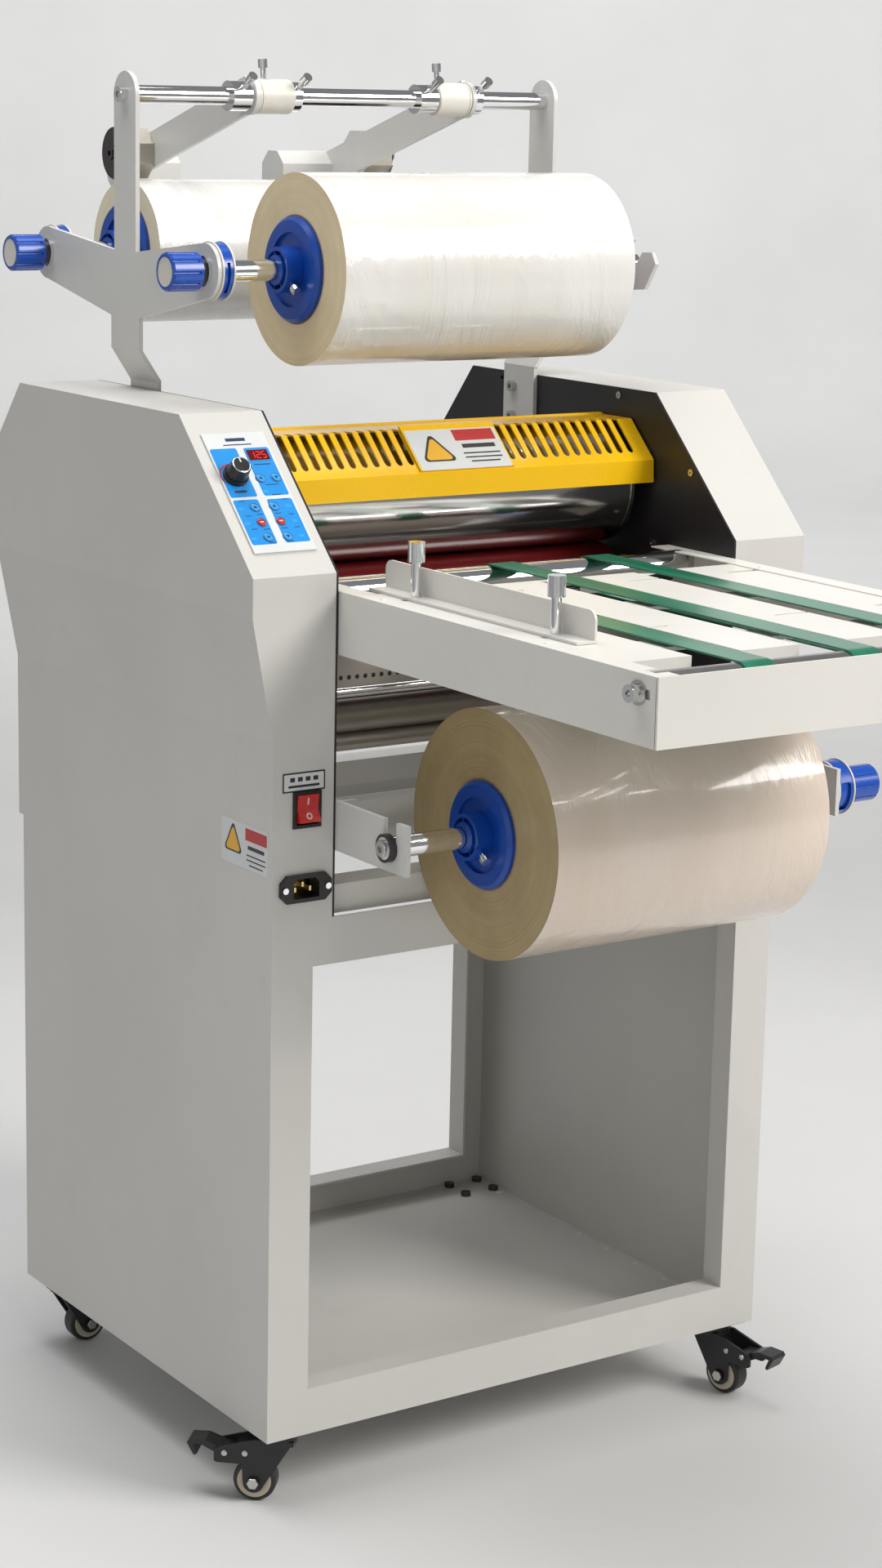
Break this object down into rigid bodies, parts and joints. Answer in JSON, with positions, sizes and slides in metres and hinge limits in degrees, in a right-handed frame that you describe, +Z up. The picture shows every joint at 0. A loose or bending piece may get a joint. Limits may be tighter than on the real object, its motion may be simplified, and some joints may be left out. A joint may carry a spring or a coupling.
{
  "type": "roll laminator",
  "caption": "Floor-standing heated roll laminator: open cabinet on casters, belt feed table, yellow slotted guard over a chrome and a red roller, film rolls on braked shafts, swing-arm slitter.",
  "frame": {"origin": "on the floor, at the middle of the footprint at rest", "axes": "+Z up; -Y is the operator's side, where the feed table stands out; X runs along the rollers, the control panel is at -X"},
  "size_m": [0.5922, 1.001, 1.1912],
  "materials": {
    "ivory_powder_coat": "fine textured powder coat",
    "black_paint": "satin black",
    "yellow_paint": "gloss yellow",
    "chrome_plate": "polished",
    "zinc_steel": "zinc plated",
    "red_silicone": "smooth silicone sleeve",
    "black_plastic": "matte moulded",
    "blue_plastic": "moulded",
    "white_plastic": "moulded",
    "green_belt": "smooth belt",
    "laminating_film": "clear wound film",
    "panel_film": "printed decal",
    "button_blue": "printed pad",
    "button_red": "printed pad",
    "switch_red": "translucent rocker",
    "wheel_tan": "polyurethane tread",
    "black_disc": "coated blade",
    "motor_grey": "grey"
  },
  "bodies": {
    "root": {"cabinet_side_panels": "ivory_powder_coat", "cabinet_frames": "ivory_powder_coat", "cabinet_floor": "ivory_powder_coat", "caster_plates": "black_paint", "side_covers": "ivory_powder_coat", "chassis": "black_paint", "drive_and_heater": "motor_grey", "feed_table": "ivory_powder_coat", "feed_belts": "green_belt", "film_brackets": "ivory_powder_coat", "film_brakes": "blue_plastic", "top_rod": "chrome_plate", "fasteners": "zinc_steel", "control_panel": "panel_film", "power_inlet": "black_plastic"},
    "caster_fork_front_left": {"caster_fork_front_left": "black_paint"},
    "caster_wheel_front_left": {"caster_wheel_front_left": "wheel_tan"},
    "caster_pedal_front_left": {"caster_pedal_front_left": "black_paint"},
    "caster_fork_front_right": {"caster_fork_front_right": "black_paint"},
    "caster_wheel_front_right": {"caster_wheel_front_right": "wheel_tan"},
    "caster_pedal_front_right": {"caster_pedal_front_right": "black_paint"},
    "caster_fork_rear_left": {"caster_fork_rear_left": "black_paint"},
    "caster_wheel_rear_left": {"caster_wheel_rear_left": "wheel_tan"},
    "caster_fork_rear_right": {"caster_fork_rear_right": "black_paint"},
    "caster_wheel_rear_right": {"caster_wheel_rear_right": "wheel_tan"},
    "heated_roller": {"heated_roller": "chrome_plate"},
    "nip_blocks": {"nip_blocks": "black_paint"},
    "silicone_roller": {"silicone_roller": "red_silicone"},
    "motor_gear": {"motor_gear": "zinc_steel"},
    "table_front_roller": {"table_front_roller": "zinc_steel"},
    "table_rear_roller": {"table_rear_roller": "chrome_plate"},
    "roller_guard": {"roller_guard": "yellow_paint"},
    "fence": {"fence": "ivory_powder_coat"},
    "fence_screw_front": {"fence_screw_front": "zinc_steel"},
    "fence_screw_rear": {"fence_screw_rear": "zinc_steel"},
    "upper_film_shaft": {"upper_film_shaft": "chrome_plate", "upper_film_roll": "laminating_film"},
    "upper_tension_knob": {"upper_tension_knob": "blue_plastic"},
    "rear_film_shaft": {"rear_film_shaft": "chrome_plate", "rear_film_roll": "laminating_film"},
    "rear_tension_knob": {"rear_tension_knob": "blue_plastic"},
    "lower_film_shaft": {"lower_film_shaft": "chrome_plate", "lower_film_roll": "laminating_film"},
    "lower_tension_knob": {"lower_tension_knob": "blue_plastic"},
    "slitter_collars_left": {"slitter_collars_left": "chrome_plate"},
    "slitter_arm_left": {"slitter_arm_left": "ivory_powder_coat"},
    "slitter_blade_left": {"slitter_blade_left": "black_disc"},
    "slitter_collars_right": {"slitter_collars_right": "chrome_plate"},
    "slitter_arm_right": {"slitter_arm_right": "ivory_powder_coat"},
    "slitter_blade_right": {"slitter_blade_right": "black_disc"},
    "button_temperature_up": {"button_temperature_up": "button_blue"},
    "button_temperature_down": {"button_temperature_down": "button_blue"},
    "button_nip_up": {"button_nip_up": "button_blue"},
    "button_nip_stop": {"button_nip_stop": "button_red"},
    "button_nip_down": {"button_nip_down": "button_blue"},
    "button_forward": {"button_forward": "button_blue"},
    "button_stop": {"button_stop": "button_red"},
    "button_reverse": {"button_reverse": "button_blue"},
    "speed_knob": {"speed_knob": "black_plastic"},
    "rocker_switch": {"rocker_switch": "switch_red"}
  },
  "joints": [
    {"name": "swivel_front_left", "type": "hinge", "parent": "root", "child": "caster_fork_front_left", "pos_m": [-0.23185, -0.0615, 0.056], "axis": [0, 0, 1], "continuous": true},
    {"name": "wheel_spin_front_left", "type": "hinge", "parent": "caster_fork_front_left", "child": "caster_wheel_front_left", "pos_m": [-0.24667, -0.04807, 0.0185], "axis": [-0.6717, -0.7408, 0], "continuous": true},
    {"name": "brake_front_left", "type": "hinge", "parent": "caster_fork_front_left", "child": "caster_pedal_front_left", "pos_m": [-0.26519, -0.03127, 0.0435], "axis": [-0.6717, -0.7408, 0], "range_deg": [0, 12]},
    {"name": "swivel_front_right", "type": "hinge", "parent": "root", "child": "caster_fork_front_right", "pos_m": [0.23215, -0.0615, 0.056], "axis": [0, 0, 1], "continuous": true},
    {"name": "wheel_spin_front_right", "type": "hinge", "parent": "caster_fork_front_right", "child": "caster_wheel_front_right", "pos_m": [0.23716, -0.08086, 0.0185], "axis": [0.9681, 0.2504, 0], "continuous": true},
    {"name": "brake_front_right", "type": "hinge", "parent": "caster_fork_front_right", "child": "caster_pedal_front_right", "pos_m": [0.24342, -0.10507, 0.0435], "axis": [0.9681, 0.2504, 0], "range_deg": [0, 12]},
    {"name": "swivel_rear_left", "type": "hinge", "parent": "root", "child": "caster_fork_rear_left", "pos_m": [-0.23185, 0.3325, 0.056], "axis": [0, 0, 1], "continuous": true},
    {"name": "wheel_spin_rear_left", "type": "hinge", "parent": "caster_fork_rear_left", "child": "caster_wheel_rear_left", "pos_m": [-0.21185, 0.3325, 0.0185], "axis": [0, 1, 0], "continuous": true},
    {"name": "swivel_rear_right", "type": "hinge", "parent": "root", "child": "caster_fork_rear_right", "pos_m": [0.23215, 0.3325, 0.056], "axis": [0, 0, 1], "continuous": true},
    {"name": "wheel_spin_rear_right", "type": "hinge", "parent": "caster_fork_rear_right", "child": "caster_wheel_rear_right", "pos_m": [0.24947, 0.3425, 0.0185], "axis": [-0.5, 0.866, 0], "continuous": true},
    {"name": "heated_roller_spin", "type": "hinge", "parent": "root", "child": "heated_roller", "pos_m": [0.00015, 0.097, 0.8257], "axis": [1, 0, 0], "continuous": true},
    {"name": "nip_lift", "type": "slide", "parent": "root", "child": "nip_blocks", "axis": [0, 0, 1], "range_m": [-0.006, 0]},
    {"name": "silicone_roller_spin", "type": "hinge", "parent": "nip_blocks", "child": "silicone_roller", "pos_m": [0.00015, 0.097, 0.7264], "axis": [1, 0, 0], "continuous": true},
    {"name": "motor_gear_spin", "type": "hinge", "parent": "root", "child": "motor_gear", "pos_m": [0.00015, 0.16253, 0.79514], "axis": [1, 0, 0], "continuous": true},
    {"name": "table_front_roller_spin", "type": "hinge", "parent": "root", "child": "table_front_roller", "pos_m": [0.00015, -0.4785, 0.7651], "axis": [1, 0, 0], "continuous": true},
    {"name": "table_rear_roller_spin", "type": "hinge", "parent": "root", "child": "table_rear_roller", "pos_m": [0.00015, -0.0245, 0.7651], "axis": [1, 0, 0], "continuous": true},
    {"name": "guard_lift", "type": "hinge", "parent": "root", "child": "roller_guard", "pos_m": [0.00015, 0.1095, 0.883], "axis": [-1, 0, 0], "range_deg": [0, 60]},
    {"name": "fence_slide", "type": "slide", "parent": "root", "child": "fence", "axis": [1, 0, 0], "range_m": [-0.006, 0.012]},
    {"name": "fence_screw_front_turn", "type": "hinge", "parent": "fence", "child": "fence_screw_front", "pos_m": [-0.16385, -0.3295, 0.78], "axis": [0, 0, 1], "range_deg": [-360, 360]},
    {"name": "fence_screw_rear_turn", "type": "hinge", "parent": "fence", "child": "fence_screw_rear", "pos_m": [-0.16385, -0.1425, 0.78], "axis": [0, 0, 1], "range_deg": [-360, 360]},
    {"name": "upper_film_spin", "type": "hinge", "parent": "root", "child": "upper_film_shaft", "pos_m": [0.00015, 0.0975, 1.019], "axis": [1, 0, 0], "continuous": true},
    {"name": "upper_tension_turn", "type": "hinge", "parent": "upper_film_shaft", "child": "upper_tension_knob", "pos_m": [-0.25585, 0.0975, 1.019], "axis": [1, 0, 0], "range_deg": [-360, 360]},
    {"name": "rear_film_spin", "type": "hinge", "parent": "root", "child": "rear_film_shaft", "pos_m": [0.00015, 0.3815, 1.019], "axis": [1, 0, 0], "continuous": true},
    {"name": "rear_tension_turn", "type": "hinge", "parent": "rear_film_shaft", "child": "rear_tension_knob", "pos_m": [-0.25585, 0.3815, 1.019], "axis": [1, 0, 0], "range_deg": [-360, 360]},
    {"name": "lower_film_spin", "type": "hinge", "parent": "root", "child": "lower_film_shaft", "pos_m": [0.00015, -0.1675, 0.5875], "axis": [1, 0, 0], "continuous": true},
    {"name": "lower_tension_turn", "type": "hinge", "parent": "lower_film_shaft", "child": "lower_tension_knob", "pos_m": [0.29615, -0.1675, 0.5875], "axis": [1, 0, 0], "range_deg": [-360, 360]},
    {"name": "slitter_slide_left", "type": "slide", "parent": "root", "child": "slitter_collars_left", "axis": [1, 0, 0], "range_m": [-0.045, 0.02]},
    {"name": "slitter_swing_left", "type": "hinge", "parent": "slitter_collars_left", "child": "slitter_arm_left", "pos_m": [0.00015, 0.2355, 1.159], "axis": [1, 0, 0], "range_deg": [0, 120]},
    {"name": "slitter_blade_spin_left", "type": "hinge", "parent": "slitter_arm_left", "child": "slitter_blade_left", "pos_m": [0.00015, 0.4255, 1.105], "axis": [1, 0, 0], "continuous": true},
    {"name": "slitter_slide_right", "type": "slide", "parent": "root", "child": "slitter_collars_right", "axis": [1, 0, 0], "range_m": [-0.025, 0.06]},
    {"name": "slitter_swing_right", "type": "hinge", "parent": "slitter_collars_right", "child": "slitter_arm_right", "pos_m": [0.00015, 0.2355, 1.159], "axis": [1, 0, 0], "range_deg": [0, 120]},
    {"name": "slitter_blade_spin_right", "type": "hinge", "parent": "slitter_arm_right", "child": "slitter_blade_right", "pos_m": [0.00015, 0.4255, 1.105], "axis": [1, 0, 0], "continuous": true},
    {"name": "press_temperature_up", "type": "slide", "parent": "root", "child": "button_temperature_up", "axis": [0, 0.6993, -0.7149], "range_m": [0, 0.0005], "stiffness_N_per_m": 400},
    {"name": "press_temperature_down", "type": "slide", "parent": "root", "child": "button_temperature_down", "axis": [0, 0.6993, -0.7149], "range_m": [0, 0.0005], "stiffness_N_per_m": 400},
    {"name": "press_nip_up", "type": "slide", "parent": "root", "child": "button_nip_up", "axis": [0, 0.6993, -0.7149], "range_m": [0, 0.0005], "stiffness_N_per_m": 400},
    {"name": "press_nip_stop", "type": "slide", "parent": "root", "child": "button_nip_stop", "axis": [0, 0.6993, -0.7149], "range_m": [0, 0.0005], "stiffness_N_per_m": 400},
    {"name": "press_nip_down", "type": "slide", "parent": "root", "child": "button_nip_down", "axis": [0, 0.6993, -0.7149], "range_m": [0, 0.0005], "stiffness_N_per_m": 400},
    {"name": "press_forward", "type": "slide", "parent": "root", "child": "button_forward", "axis": [0, 0.6993, -0.7149], "range_m": [0, 0.0005], "stiffness_N_per_m": 400},
    {"name": "press_stop", "type": "slide", "parent": "root", "child": "button_stop", "axis": [0, 0.6993, -0.7149], "range_m": [0, 0.0005], "stiffness_N_per_m": 400},
    {"name": "press_reverse", "type": "slide", "parent": "root", "child": "button_reverse", "axis": [0, 0.6993, -0.7149], "range_m": [0, 0.0005], "stiffness_N_per_m": 400},
    {"name": "speed_turn", "type": "hinge", "parent": "root", "child": "speed_knob", "pos_m": [-0.25485, -0.01526, 0.86393], "axis": [0, -0.6993, 0.7149], "range_deg": [-150, 150]},
    {"name": "rocker_tilt", "type": "hinge", "parent": "root", "child": "rocker_switch", "pos_m": [-0.22785, -0.08275, 0.605], "axis": [1, 0, 0], "range_deg": [0, 18]}
  ],
  "couplings": [
    {"joint": "silicone_roller_spin", "follows": "heated_roller_spin", "ratio": -1.2},
    {"joint": "motor_gear_spin", "follows": "heated_roller_spin", "ratio": -3},
    {"joint": "table_front_roller_spin", "follows": "heated_roller_spin", "ratio": -3.9},
    {"joint": "table_rear_roller_spin", "follows": "heated_roller_spin", "ratio": -3.9}
  ]
}
